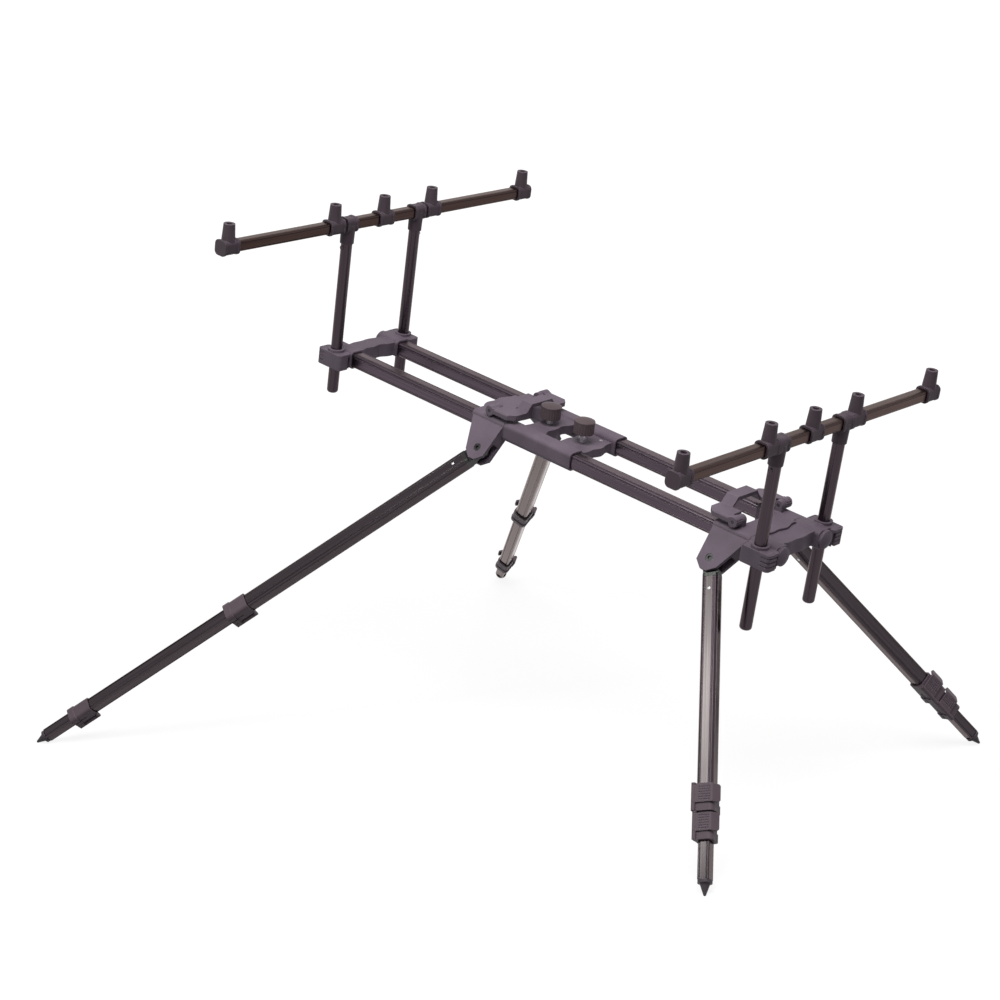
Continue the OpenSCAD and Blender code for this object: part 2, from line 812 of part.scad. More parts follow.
// Lever with two round ends on the pins and a raised finger bridge across the pod
module cam_lever(end) {
    base_x = end * -pivot_x_at(end);
    out_y = rail_y + sleeve_w / 2;
    pin_x = base_x - cam_x;
    tip = base_x + cam_reach;
    low = cam_z - cam_t / 2;
    pad_low = cam_z;
    top = cam_z + cam_t;
    pad_x = pin_x + cam_r + pad_gap;
    pad_y = bridge_half + bridge_run;
    color(mould_color)
        stand()
            at_end(end)
                difference() {
                    intersection() {
                        union() {
                            each_side() {
                                along_y(out_y - arm_w, out_y) {
                                    translate([pin_x, cam_z])
                                        circle(cam_r);
                                    translate([pin_x, low])
                                        square([tip - pin_x - cam_t / 2, top - low]);
                                    translate([tip - cam_t / 2, low + cam_t / 2])
                                        circle(cam_t / 2);
                                    translate([tip - cam_t, low + cam_t / 2])
                                        square([cam_t, top - low - cam_t / 2]);
                                }
                                translate([pad_x, pad_y, pad_low])
                                    cube([tip - pad_x, out_y - pad_y - arm_w / 2, cam_t]);
                            }
                            along_x(tip - bridge_w, tip)
                                polygon(concat(bridge_line(pad_y, pad_low),
                                    [for (i = [0 : 5]) bridge_line(pad_y, top)[5 - i]]));
                        }
                        linear_extrude(top + bridge_rise + over)
                            polygon([[pin_x - cam_r - over, -out_y], [tip - arm_cut, -out_y],
                                [tip + over, -out_y + arm_cut + over], [tip + over, out_y - arm_cut - over],
                                [tip - arm_cut, out_y], [pin_x - cam_r - over, out_y]]);
                    }
                    translate([pin_x, out_y + over, cam_z])
                        rotate([90, 0, 0])
                            cylinder(d = cam_pin_d + 2 * run_gap, h = 2 * out_y + 2 * over);
                    each_side() {
                        for (i = [0 : cam_ribs - 1])
                            translate([pin_x, out_y + over, cam_z])
                                rotate([90, rib_from + i * rib_turn / cam_ribs, 0])
                                    translate([cam_r, 0, 0])
                                        cylinder(r = cam_groove, h = arm_w + 2 * over, $fn = 16);
                        translate([pin_x + cam_r, out_y, top])
                            rotate([45, 0, 0])
                                translate([0, -arm_bevel, -arm_bevel])
                                    cube([cam_reach + cam_x, 2 * arm_bevel, 2 * arm_bevel]);
                    }
                }
}

// One edge of the finger bridge across the pod
function bridge_line(pad_y, z) = [[-pad_y - cam_t, z], [-pad_y, z], [-bridge_half, z + bridge_rise],
    [bridge_half, z + bridge_rise], [pad_y, z], [pad_y + cam_t, z]];

// Cam lever pins and leg pivot bolts of one leg block
module block_pins(end) {
    base_x = end * -pivot_x_at(end);
    out_y = rail_y + sleeve_w / 2;
    plates = head_t + 2 * slide_gap + 2 * plate_t;
    color(metal_color)
        stand() {
            at_end(end)
                each_side()
                    translate([base_x - cam_x, out_y, cam_z])
                        rotate([90, 0, 0])
                            cylinder(d = cam_pin_d, h = arm_w + ear_w + slide_gap);
            each_side()
                on_plate(end)
                    rotate([90, 0, 0])
                        difference() {
                            union() {
                                translate([0, 0, -plates / 2])
                                    cylinder(d = bolt_d, h = plates - bolt_recess / 2);
                                translate([0, 0, plates / 2 - bolt_recess + seat_gap])
                                    cylinder(d = bolt_head_d, h = bolt_recess - bolt_sink);
                            }
                            translate([0, 0, plates / 2 - bolt_recess + seat_gap])
                                cylinder(d = bolt_hex, h = bolt_recess + over, $fn = 6);
                        }
        }
}

module at_bar(end) {
    translate([end * post_x, 0, end == front ? front_bar_z : rear_bar_z])
        children();
}

function bar_len_at(end) = end == front ? front_bar_len : rear_bar_len;
function socket_y_at(end) = end == front ? front_socket_y : rear_socket_y;
function end_socket_y(end) = bar_len_at(end) / 2 - socket_len / 2 + bar_sleeve_wall;

module rod_bar(end) {
    half = bar_len_at(end) / 2;
    color(tube_color)
        stand()
            at_bar(end)
                along_y(-half, half)
                    plain_tube(bar_w, bar_r, bar_wall);
}

// Sleeve on the bar with a threaded cone for a rod rest
module rod_socket(at, closed) {
    w = bar_w + 2 * (seat_gap + bar_sleeve_wall);
    low = at - socket_len / 2;
    high = at + socket_len / 2;
    way = closed ? high - bar_sleeve_wall : high + over;
    top = w / 2 + cone_h;
    difference() {
        union() {
            along_y(low, high)
                rounded_square(w, bar_r + bar_sleeve_wall);
            for (rim = [low, high - rim_len])
                along_y(rim, rim + rim_len)
                    rounded_square(w + 2 * rim_h, bar_r + bar_sleeve_wall + rim_h);
            translate([0, at, 0])
                cylinder(d1 = cone_d + (cone_d - cone_top_d) * w / 2 / cone_h, d2 = cone_top_d, h = top);
        }
        along_y(low - over, way)
            rounded_square(bar_w + 2 * seat_gap, bar_r + seat_gap);
        translate([0, at, top - socket_depth])
            cylinder(d = socket_d, h = socket_depth + over);
    }
}

module bar_tee() {
    w = bar_w + 2 * (seat_gap + bar_sleeve_wall);
    difference() {
        union() {
            along_y(post_y - tee_len / 2, post_y + tee_len / 2)
                rounded_square(w, bar_r + bar_sleeve_wall);
            for (rim = [post_y - tee_len / 2, post_y + tee_len / 2 - rim_len])
                along_y(rim, rim + rim_len)
                    rounded_square(w + 2 * rim_h, bar_r + bar_sleeve_wall + rim_h);
            translate([0, post_y, -tee_drop])
                cylinder(d1 = tee_d - tee_taper, d2 = tee_d, h = tee_drop);
        }
        along_y(post_y - tee_len / 2 - over, post_y + tee_len / 2 + over)
            rounded_square(bar_w + 2 * seat_gap, bar_r + seat_gap);
        translate([0, post_y, -tee_drop - over])
            cylinder(d = post_d + 2 * seat_gap, h = tee_drop + over - bar_w / 2 - bar_sleeve_wall);
    }
}

module bar_fittings(end) {
    color(mould_color)
        stand()
            at_bar(end) {
                rod_socket(0, false);
                each_side() {
                    rod_socket(socket_y_at(end), false);
                    rod_socket(end_socket_y(end), true);
                    bar_tee();
                }
            }
}

module bar_posts(end) {
    top = -bar_w / 2 - bar_sleeve_wall - seat_gap;
    color(tube_color)
        stand()
            at_bar(end)
                each_side()
                    translate([0, post_y, 0]) {
                        difference() {
                            union() {
                                translate([0, 0, -post_len + post_end_r])
                                    cylinder(d = post_d, h = post_len - post_end_r + top);
                                translate([0, 0, -post_len])
                                    rotate_extrude() {
                                        square([post_d / 2 - post_end_r, post_end_r]);
                                        translate([post_d / 2 - post_end_r, post_end_r])
                                            intersection() {
                                                circle(post_end_r);
                                                translate([0, -post_end_r])
                                                    square(post_end_r);
                                            }
                                    }
                                translate([0, post_d / 2 - over, -tee_drop - button_d])
                                    rotate([-90, 0, 0])
                                        cylinder(d = button_d, h = button_h + over);
                            }
                            translate([0, 0, -post_len + post_end_r + post_wall])
                                cylinder(d = post_d - 2 * post_wall, h = post_len);
                        }
                    }
}

// Turns a collar with its lever: all legs are one part, so the levers are not mirrored from leg to leg
module on_collar(end, side) {
    if (end == front && side == left)
        mirror([0, 1, 0])
            children();
    else if (end == rear && side == right)
        rotate(90)
            mirror([0, 1, 0])
                children();
    else
        children();
}

// Places a shape in the frame of one leg: pivot at the origin, leg down minus Z
module on_leg(end, side) {
    mirror([0, side == right ? 1 : 0, 0])
        on_plate(end)
            rotate([0, leg_swing, 0])
                children();
}

module down_leg(from, to) {
    translate([0, 0, -to])
        linear_extrude(to - from)
            children();
}

// Leg head: a tongue on the pivot bolt, a square shoulder and a plug in the tube
module leg_head(end, side) {
    tongue_r = bolt_d / 2 + tongue_wall;
    shoulder = leg_top - shoulder_h;
    plug_w = leg_w - 2 * (leg_wall + seat_gap);
    color(mould_color)
        stand()
            on_leg(end, side)
                difference() {
                    union() {
                        rotate([90, 0, 0])
                            cylinder(r = tongue_r, h = head_t, center = true);
                        translate([-leg_w / 2, -head_t / 2, -shoulder - over])
                            cube([leg_w, head_t, shoulder + over]);
                        down_leg(shoulder, leg_top - seat_gap)
                            rounded_square(leg_w, leg_r);
                        down_leg(leg_top - over, leg_top + head_plug)
                            rounded_square(plug_w, leg_r - leg_wall);
                    }
                    rotate([90, 0, 0])
                        cylinder(d = bolt_d + 2 * run_gap, h = head_t + 2 * over, center = true);
                }
}

module leg_upper_tube(end, side) {
    color(tube_color)
        stand()
            on_leg(end, side)
                down_leg(leg_top, collar_at(end) + collar_seat)
                    grooved_tube(leg_w, leg_r, leg_wall);
}

module leg_middle_tube(end, side) {
    bottom = low_collar_at(end) + collar_seat;
    color(tube_color)
        stand()
            on_leg(end, side)
                down_leg(bottom - mid_len_at(end), bottom)
                    grooved_tube(mid_w, mid_r, leg_wall);
}

module leg_lower_tube(end, side) {
    bottom = low_end_at(end);
    color(tube_color)
        stand()
            on_leg(end, side)
                down_leg(bottom - low_len_at(end), bottom)
                    plain_tube(low_w, low_r, leg_wall);
}

function eye_x(w) = w / 2 + collar_wall - eye_in;
function eye_y(w) = -w / 2 - collar_wall - eye_out;

// Split collar on the end of one tube, with ears for a flip lever on its outer face
module collar(at, w, r, next_w, next_r) {
    out_w = w + 2 * collar_wall;
    low_ear = at + lever_top + lever_len + slide_gap;
    difference() {
        union() {
            down_leg(at, at + collar_len)
                rounded_square(out_w, collar_r);
            down_leg(low_ear, at + collar_len)
                rounded_square(out_w + 2 * band_rim, collar_r + band_rim);
            down_leg(at, at + lever_top - slide_gap)
                collar_ear(w);
            down_leg(low_ear, at + collar_len)
                collar_ear(w);
            down_leg(at, at + collar_len)
                translate([eye_x(w), eye_y(w)])
                    circle(eye_pin_r);
        }
        down_leg(at - over, at + collar_seat + seat_gap)
            rounded_square(w + 2 * seat_gap, r + seat_gap);
        down_leg(at, at + collar_len + over)
            rounded_square(next_w + 2 * slide_gap, next_r + slide_gap);
        down_leg(at + slit_in, at + collar_len + over)
            translate([0, -collar_slit / 2])
                square([out_w, collar_slit]);
    }
}

// Ear that holds a lever's hinge pin
module collar_ear(w) {
    translate([eye_x(w), eye_y(w)])
        circle(eye_r);
    translate([eye_x(w) - eye_r, eye_y(w)])
        square([2 * eye_r, -eye_y(w) - w / 2 + collar_wall]);
}

// Flip lever: hinge eye, grip pad over the outer face and a finger tab round the corner
module flip_lever(at, w) {
    out_w = w + 2 * collar_wall;
    face = -out_w / 2 - slide_gap;
    corner = -out_w / 2 + eye_in;
    tab_end = [corner - tab_reach * cos(tab_slope), face + tab_reach * sin(tab_slope)];
    row_step = lever_len / (grip_rows + 1);
    column_step = out_w * grip_share / (grip_columns + 1);
    difference() {
        down_leg(at + lever_top, at + lever_top + lever_len)
            difference() {
                union() {
                    translate([eye_x(w), eye_y(w)])
                        circle(eye_r);
                    polygon(concat(
                        [[eye_x(w), face - lever_t], [eye_x(w), face], [corner, face], tab_end],
                        [tab_end - lever_t * [sin(tab_slope), cos(tab_slope)]],
                        [for (i = [0 : bend_steps])
                            let (turn = 270 - tab_slope * (1 - i / bend_steps))
                            [corner, face] + lever_t * [cos(turn), sin(turn)]]));
                }
                translate([eye_x(w), eye_y(w)])
                    circle(eye_pin_r + run_gap);
            }
        for (i = [1 : grip_rows])
            translate([corner + grip_in, face - lever_t - over, -at - lever_top - i * row_step - grip_w / 2])
                cube([out_w * grip_share, grip_deep + over, grip_w]);
        for (i = [1 : grip_columns])
            down_leg(at + lever_top - over, at + lever_top + lever_len + over)
                translate([corner + grip_in + i * column_step - grip_w / 2, face - lever_t - over])
                    square([grip_w, grip_deep * column_share + over]);
        translate([corner, face, -at - lever_top - lever_len / 2])
            rotate(180 - tab_slope)
                tab_corners();
    }
}

// What is cut away to round the free corners of a lever's tab
module tab_corners() {
    corner = tab_r * tab_soft;
    for (side = [-1, 1])
        rotate([-90, 0, 0])
            translate([0, 0, -over])
                linear_extrude(lever_t + 2 * over)
                    translate([tab_reach - corner, side * (lever_len / 2 - corner)])
                        difference() {
                            translate([0, side > 0 ? 0 : -corner - over])
                                square(corner + over);
                            circle(tab_r);
                        }
}

module leg_upper_collar(end, side) {
    color(mould_color)
        stand()
            on_leg(end, side)
                on_collar(end, side)
                    collar(collar_at(end), leg_w, leg_r, mid_w, mid_r);
}

module leg_lower_collar(end, side) {
    color(mould_color)
        stand()
            on_leg(end, side)
                on_collar(end, side)
                    collar(low_collar_at(end), mid_w, mid_r, low_w, low_r);
}

module leg_upper_lever(end, side) {
    color(mould_color)
        stand()
            on_leg(end, side)
                on_collar(end, side)
                    flip_lever(collar_at(end), leg_w);
}

module leg_lower_lever(end, side) {
    color(mould_color)
        stand()
            on_leg(end, side)
                on_collar(end, side)
                    flip_lever(low_collar_at(end), mid_w);
}

module leg_spike(end, side) {
    start = low_end_at(end) + seat_gap;
    plug_w = low_w - 2 * (leg_wall + seat_gap);
    color(mould_color)
        stand()
            on_leg(end, side) {
                translate([0, 0, -start - flange_t])
                    cylinder(d = low_w + 2 * flange_rim, h = flange_t);
                down_leg(start - collar_seat, start + over)
                    rounded_square(plug_w, groove_r);
                translate([0, 0, -tip_at(end)])
                    cylinder(r1 = tip_r, r2 = spike_d / 2, h = spike_len + seat_gap);
                translate([0, 0, -tip_at(end)])
                    sphere(tip_r);
            }
}

outer_rails(front);  // front_rails
outer_rails(rear);  // rear_rails
inner_rails();
end_block(front);  // front_end_block
end_block(rear);  // rear_end_block
yoke(front, front_web_top, front_yoke_open, false);  // front_yoke
yoke(rear, rear_web_top, rear_yoke_open, true);  // rear_yoke
knob(front);  // front_knob
knob(rear);  // rear_knob
knob_stud(front, front_web_top);  // front_knob_stud
knob_stud(rear, rear_web_top);  // rear_knob_stud
leg_block(front);  // front_leg_block
leg_block(rear);  // rear_leg_block
cam_lever(front);  // front_cam_lever
cam_lever(rear);  // rear_cam_lever
block_pins(front);  // front_pins
block_pins(rear);  // rear_pins
rod_bar(front);  // front_bar
rod_bar(rear);  // rear_bar
bar_fittings(front);  // front_bar_fittings
bar_fittings(rear);  // rear_bar_fittings
bar_posts(front);  // front_posts
bar_posts(rear);  // rear_posts
leg_head(front, left);  // front_left_head
leg_upper_tube(front, left);  // front_left_upper_tube
leg_upper_collar(front, left);  // front_left_upper_collar
leg_upper_lever(front, left);  // front_left_upper_lever
leg_middle_tube(front, left);  // front_left_middle_tube
leg_lower_collar(front, left);  // front_left_lower_collar
leg_lower_lever(front, left);  // front_left_lower_lever
leg_lower_tube(front, left);  // front_left_lower_tube
leg_spike(front, left);  // front_left_spike
leg_head(front, right);  // front_right_head
leg_upper_tube(front, right);  // front_right_upper_tube
leg_upper_collar(front, right);  // front_right_upper_collar
leg_upper_lever(front, right);  // front_right_upper_lever
leg_middle_tube(front, right);  // front_right_middle_tube
leg_lower_collar(front, right);  // front_right_lower_collar
leg_lower_lever(front, right);  // front_right_lower_lever
leg_lower_tube(front, right);  // front_right_lower_tube
leg_spike(front, right);  // front_right_spike
leg_head(rear, left);  // rear_left_head
leg_upper_tube(rear, left);  // rear_left_upper_tube
leg_upper_collar(rear, left);  // rear_left_upper_collar
leg_upper_lever(rear, left);  // rear_left_upper_lever
leg_middle_tube(rear, left);  // rear_left_middle_tube
leg_lower_collar(rear, left);  // rear_left_lower_collar
leg_lower_lever(rear, left);  // rear_left_lower_lever
leg_lower_tube(rear, left);  // rear_left_lower_tube
leg_spike(rear, left);  // rear_left_spike
leg_head(rear, right);  // rear_right_head
leg_upper_tube(rear, right);  // rear_right_upper_tube
leg_upper_collar(rear, right);  // rear_right_upper_collar
leg_upper_lever(rear, right);  // rear_right_upper_lever
leg_middle_tube(rear, right);  // rear_right_middle_tube
leg_lower_collar(rear, right);  // rear_right_lower_collar
leg_lower_lever(rear, right);  // rear_right_lower_lever
leg_lower_tube(rear, right);  // rear_right_lower_tube
leg_spike(rear, right);  // rear_right_spike
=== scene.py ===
# %% [markdown]
# # A folding rod pod
# A rod pod holds fishing rods over the water's edge. Its frame is two telescoping rails, its four legs
# fold and telescope, and a bar at each end carries threaded sockets for rod rests. The solids come from
# the CAD model, so this lesson gives them their finishes, adds the small fasteners, and lights the scene.

# %% Load the CAD frame
import json
import math
import bpy
from mathutils import Matrix, Vector


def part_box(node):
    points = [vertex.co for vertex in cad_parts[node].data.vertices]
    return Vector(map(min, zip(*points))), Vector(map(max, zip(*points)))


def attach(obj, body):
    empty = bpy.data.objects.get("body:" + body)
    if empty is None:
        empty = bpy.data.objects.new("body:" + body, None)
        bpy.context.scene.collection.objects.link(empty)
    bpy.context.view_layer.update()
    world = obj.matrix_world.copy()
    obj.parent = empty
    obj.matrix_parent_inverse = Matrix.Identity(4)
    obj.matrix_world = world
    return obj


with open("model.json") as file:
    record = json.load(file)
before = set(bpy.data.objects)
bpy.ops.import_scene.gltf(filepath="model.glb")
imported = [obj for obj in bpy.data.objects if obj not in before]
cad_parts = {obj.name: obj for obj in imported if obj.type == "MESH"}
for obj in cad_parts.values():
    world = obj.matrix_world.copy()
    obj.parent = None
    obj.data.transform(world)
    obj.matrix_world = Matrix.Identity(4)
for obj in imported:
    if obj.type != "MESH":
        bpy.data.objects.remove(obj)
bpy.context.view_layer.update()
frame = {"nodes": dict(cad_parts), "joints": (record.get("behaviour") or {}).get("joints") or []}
nodes = frame["nodes"]

# %% [markdown]
# The camera comes first, because every finish is judged from it. Its place, tilt and lens are those at
# which the straight edges of rails, posts and bars fall where the photograph has them, so no shift and
# no guessed zoom are needed. The small roll belongs to it: the picture was taken slightly tilted.

# %% Camera
CAMERA_PLACE = (2.0276, -2.2155, 1.1523)
CAMERA_TURN = (74.637, 2.259, 42.703)
CAMERA_LENS = 82.21
SENSOR_WIDTH = 36.0
SIGHT_END = 300.0

camera_data = bpy.data.cameras.new("camera")
camera_data.lens = CAMERA_LENS
camera_data.sensor_width = SENSOR_WIDTH
camera_data.clip_end = SIGHT_END
camera = bpy.data.objects.new("camera", camera_data)
camera.location = CAMERA_PLACE
camera.rotation_euler = [math.radians(turn) for turn in CAMERA_TURN]
bpy.context.scene.collection.objects.link(camera)
bpy.context.scene.camera = camera
print("camera at", CAMERA_PLACE, "lens", CAMERA_LENS)

# %% [markdown]
# Floor, sky and finishes are all chains of shader nodes. A few helpers make the links that come up in every
# chain: an empty finish to start from, a socket that takes a pattern or a plain value, one step of arithmetic,
# and one range of numbers laid onto another. With them the recipes below stay short enough to read.

# %% Links of a shader chain
WHITE = (1.0, 1.0, 1.0, 1.0)


def new_finish(name):
    """An empty finish: its material, tree, shader and the Object coordinates."""
    mat = bpy.data.materials.new(name)
    mat.use_nodes = True
    tree = mat.node_tree
    coords = tree.nodes.new("ShaderNodeTexCoord")
    return mat, tree, tree.nodes["Principled BSDF"], coords.outputs["Object"]


def feed(tree, socket, value):
    """Joins a socket to a pattern, or sets it to a plain value."""
    if isinstance(value, bpy.types.NodeSocket):
        tree.links.new(value, socket)
    else:
        socket.default_value = value


def arithmetic(tree, operation, first, second=0.0):
    """One step of arithmetic on two patterns, or on a pattern and a number."""
    node = tree.nodes.new("ShaderNodeMath")
    node.operation = operation
    feed(tree, node.inputs[0], first)
    feed(tree, node.inputs[1], second)
    return node.outputs[0]


def remapped(tree, value, old, new=(0.0, 1.0)):
    """A pattern whose old range is laid onto a new one and held inside it."""
    node = tree.nodes.new("ShaderNodeMapRange")
    for name, end in zip(("From Min", "From Max", "To Min", "To Max"), (*old, *new)):
        node.inputs[name].default_value = end
    tree.links.new(value, node.inputs["Value"])
    return node.outputs["Result"]


print("links ready: new_finish, feed, arithmetic, remapped")

# %% [markdown]
# The floor is a wide pale sheet that fills the view up to the horizon. It is a real surface, so it keeps the
# soft shadow of the legs and throws some light up under the rails. A white floor would throw up so much that
# the sides of the blocks turn as pale as their tops, so it is a mid grey with some light of its own that only
# camera and mirror rays see: they find it white, and it doesn't light the pod. Far from the pod the lamps
# don't reach, so there the sheet's own light grows until it is white by itself.

# %% Floor
FLOOR_SIZE = 160.0
FLOOR_GREY = (0.18, 0.18, 0.18, 1.0)
FLOOR_ROUGH = 0.9
FLOOR_GLOSS = 0.1
FLOOR_GLOW = 0.87
FAR_GLOW = 1.0
GLOW_STARTS = 0.6
GLOW_ENDS = 2.6
ORIGIN = (0.0, 0.0, 0.0)


def select_none():
    """Deselects everything, so that an operator acts on the new piece alone."""
    for item in bpy.context.selected_objects:
        item.select_set(False)


def seen_rays(tree):
    """1 for camera, mirror and clear rays, 0 for the rays that carry plain light."""
    rays = tree.nodes.new("ShaderNodeLightPath")
    mirrored = arithmetic(tree, "MAXIMUM", rays.outputs["Is Camera Ray"], rays.outputs["Is Glossy Ray"])
    return arithmetic(tree, "MAXIMUM", mirrored, rays.outputs["Is Transmission Ray"])


def floor_finish():
    """Pale paper that looks white to camera and mirror rays."""
    mat, tree, shader, place = new_finish("floor_paper")
    shader.inputs["Base Color"].default_value = FLOOR_GREY
    shader.inputs["Roughness"].default_value = FLOOR_ROUGH
    shader.inputs["Specular IOR Level"].default_value = FLOOR_GLOSS
    shader.inputs["Emission Color"].default_value = WHITE
    distance = tree.nodes.new("ShaderNodeVectorMath")
    distance.operation = "LENGTH"
    tree.links.new(place, distance.inputs[0])
    glow = remapped(tree, distance.outputs["Value"], (GLOW_STARTS, GLOW_ENDS), (FLOOR_GLOW, FAR_GLOW))
    seen_glow = arithmetic(tree, "MULTIPLY", seen_rays(tree), glow)
    tree.links.new(seen_glow, shader.inputs["Emission Strength"])
    return mat


select_none()
bpy.ops.mesh.primitive_plane_add(size=FLOOR_SIZE, location=ORIGIN)
floor = bpy.context.object
floor.name = "floor"
floor.data.materials.append(floor_finish())
print("floor", FLOOR_SIZE, "m wide")

# %% [markdown]
# The light is a soft studio: a weak even sky, a wide soft box high up on the camera's side, and a narrow box
# to the camera's left. The wide box makes tops and sloping plates paler than upright sides. The narrow box
# stands where the flat outer face of the near rear leg mirrors it, so that leg shines pale as in the
# photograph, while the near front leg mirrors the sky beside it and stays dark. The narrow box is tinted
# against the purple dye of the leg, which then shines grey. Camera and mirror rays see the sky as plain white.

# %% Sky and lamps
SKY_STRENGTH = 0.18
SEEN_SKY = 1.0
TOP_BOX = {"place": (0.9, -0.9, 3.0), "aim": (0.1, 0.0, 0.3), "size": (2.0, 1.6), "power": 72.0,
           "tint": (1.0, 0.98, 1.0)}
NEAR_BOX = {"place": (-0.42, -1.75, 1.95), "aim": (0.44, -0.18, 0.17), "size": (0.35, 0.8), "power": 9.6,
            "tint": (0.88, 1.0, 0.86)}

world = bpy.data.worlds.new("studio_sky")
world.use_nodes = True
sky = world.node_tree
backdrop = sky.nodes["Background"]
backdrop.inputs["Color"].default_value = WHITE
sky_light = remapped(sky, seen_rays(sky), (0.0, 1.0), (SKY_STRENGTH, SEEN_SKY))
sky.links.new(sky_light, backdrop.inputs["Strength"])
bpy.context.scene.world = world


def soft_box(name, box):
    """One rectangular lamp that looks at its aim."""
    lamp = bpy.data.lights.new(name, "AREA")
    lamp.shape = "RECTANGLE"
    lamp.size, lamp.size_y = box["size"]
    lamp.energy = box["power"]
    lamp.color = box["tint"]
    holder = bpy.data.objects.new(name, lamp)
    holder.location = box["place"]
    look = Vector(box["aim"]) - Vector(box["place"])
    holder.rotation_euler = look.to_track_quat("-Z", "Y").to_euler()
    bpy.context.scene.collection.objects.link(holder)


soft_box("top_box", TOP_BOX)
soft_box("near_box", NEAR_BOX)
bpy.context.scene.view_settings.view_transform = "Standard"
print("sky", SKY_STRENGTH, "with soft boxes of", TOP_BOX["power"], "and", NEAR_BOX["power"], "W")

# %% [markdown]
# A pattern starts from Object coordinates, which are metres in the pod's own frame. They can be turned and
# stretched to follow a piece, and noise read at them gives the irregular marks of a real surface. A pattern
# then moves a colour from one tint to another.

# %% Patterns and tints
NOISE_ENDS = (0.25, 0.75)
RAMP_ENDS = (0.3, 0.7)


def turned(tree, place, turn, stretch, centre=ORIGIN):
    """Coordinates turned to a piece's own axes, stretched along them and counted from its centre."""
    mapping = tree.nodes.new("ShaderNodeMapping")
    mapping.vector_type = "TEXTURE"
    mapping.inputs["Location"].default_value = centre
    mapping.inputs["Rotation"].default_value = turn
    mapping.inputs["Scale"].default_value = stretch
    tree.links.new(place, mapping.inputs["Vector"])
    return mapping.outputs["Vector"]


def noise(tree, place, cells, detail):
    """Soft irregular pattern with that many cells to the metre."""
    node = tree.nodes.new("ShaderNodeTexNoise")
    node.inputs["Scale"].default_value = cells
    node.inputs["Detail"].default_value = detail
    tree.links.new(place, node.inputs["Vector"])
    return node.outputs["Fac"]


def colour_ramp(tree, factor, low, high):
    """Two tints blended by a pattern."""
    ramp = tree.nodes.new("ShaderNodeValToRGB")
    for element, position, tint in zip(ramp.color_ramp.elements, RAMP_ENDS, (low, high)):
        element.position = position
        element.color = (*tint, 1.0)
    tree.links.new(factor, ramp.inputs["Fac"])
    return ramp.outputs["Color"]


def blend_colours(tree, factor, first, second):
    """First colour, giving way to the second where the factor is high."""
    node = tree.nodes.new("ShaderNodeMix")
    node.data_type = "RGBA"
    tree.links.new(factor, node.inputs["Factor"])
    for name, colour in (("A", first), ("B", second)):
        feed(tree, node.inputs[name], (*colour, 1.0) if isinstance(colour, tuple) else colour)
    return node.outputs["Result"]


print("patterns ready: turned, noise, colour_ramp, blend_colours")

# %% [markdown]
# Real edges are never quite sharp: they catch the light and wear paler. A softened normal carries the light
# round an edge, and where it leaves the face's own normal the colour is painted paler, a painted highlight
# besides some wear.
# A relief much finer than the mesh, such as the grain of a moulding, is raised from a pattern in the shading.

# %% Edges and relief
BEVEL_SAMPLES = 4
EDGE_ENDS = (1.0, 0.8)


def rounded_edges(tree, radius):
    """Shading normal that turns softly round sharp edges."""
    node = tree.nodes.new("ShaderNodeBevel")
    node.samples = BEVEL_SAMPLES
    node.inputs["Radius"].default_value = radius
    return node.outputs["Normal"]


def worn_and_highlit_edges(tree, soft, body, tint, share):
    """A colour that takes on a share of the tint where the softened normal leaves the face's own: painted
    highlight and some wear along the edges.
    """
    face = tree.nodes.new("ShaderNodeNewGeometry")
    dot = tree.nodes.new("ShaderNodeVectorMath")
    dot.operation = "DOT_PRODUCT"
    tree.links.new(face.outputs["Normal"], dot.inputs[0])
    tree.links.new(soft, dot.inputs[1])
    edge_wear_and_highlight = remapped(tree, dot.outputs["Value"], EDGE_ENDS)
    # Painted highlight: the edges are blended towards a paler tint, besides some wear.
    return blend_colours(tree, arithmetic(tree, "MULTIPLY", edge_wear_and_highlight, share), body, tint)


def raise_surface(tree, shader, height, depth, normal=None):
    """Small relief of that depth in metres, from a pattern."""
    bump = tree.nodes.new("ShaderNodeBump")
    bump.inputs["Distance"].default_value = depth
    bump.inputs["Strength"].default_value = 1.0
    tree.links.new(height, bump.inputs["Height"])
    if normal is not None:
        tree.links.new(normal, bump.inputs["Normal"])
    tree.links.new(bump.outputs["Normal"], shader.inputs["Normal"])


print("edges ready: rounded_edges, worn_and_highlit_edges, raise_surface")

# %% [markdown]
# The tubes are aluminium, pressed through a die and anodised in a dark dye, so they are dyed metal: their
# colour is the colour of what they mirror. The die leaves faint scratches and draws a thin groove along every
# face near its edges, so both patterns have to run along each tube's own direction. One helper turns the
# coordinates to a tube: X then runs along it, and a line at a set distance from the axis in Y or Z is a groove
# on two faces.

# %% Grooves along a tube
GROOVE_IN = 0.0029
GROOVE_HALF = 0.0007


def tube_axes(direction, across):
    """Turn that lays X along a tube and Z along the way a face looks."""
    along = Vector(direction).normalized()
    face = Vector(across).normalized()
    side = face.cross(along)
    return Matrix((along, side, face)).transposed().to_euler()


def groove(tree, place, axis, half, pair):
    """0 in the grooves near the edges of a tube's faces, 1 beside them; a pair of tubes stands that far out."""
    parts = tree.nodes.new("ShaderNodeSeparateXYZ")
    tree.links.new(place, parts.inputs["Vector"])
    out = arithmetic(tree, "ABSOLUTE", parts.outputs[axis])
    across = arithmetic(tree, "ABSOLUTE", arithmetic(tree, "SUBTRACT", out, pair))
    away = arithmetic(tree, "ABSOLUTE", arithmetic(tree, "SUBTRACT", across, half - GROOVE_IN))
    return remapped(tree, away, (GROOVE_HALF / 2.0, GROOVE_HALF))


print("grooves", GROOVE_IN, "m in from the edges,", 2.0 * GROOVE_HALF, "m wide")
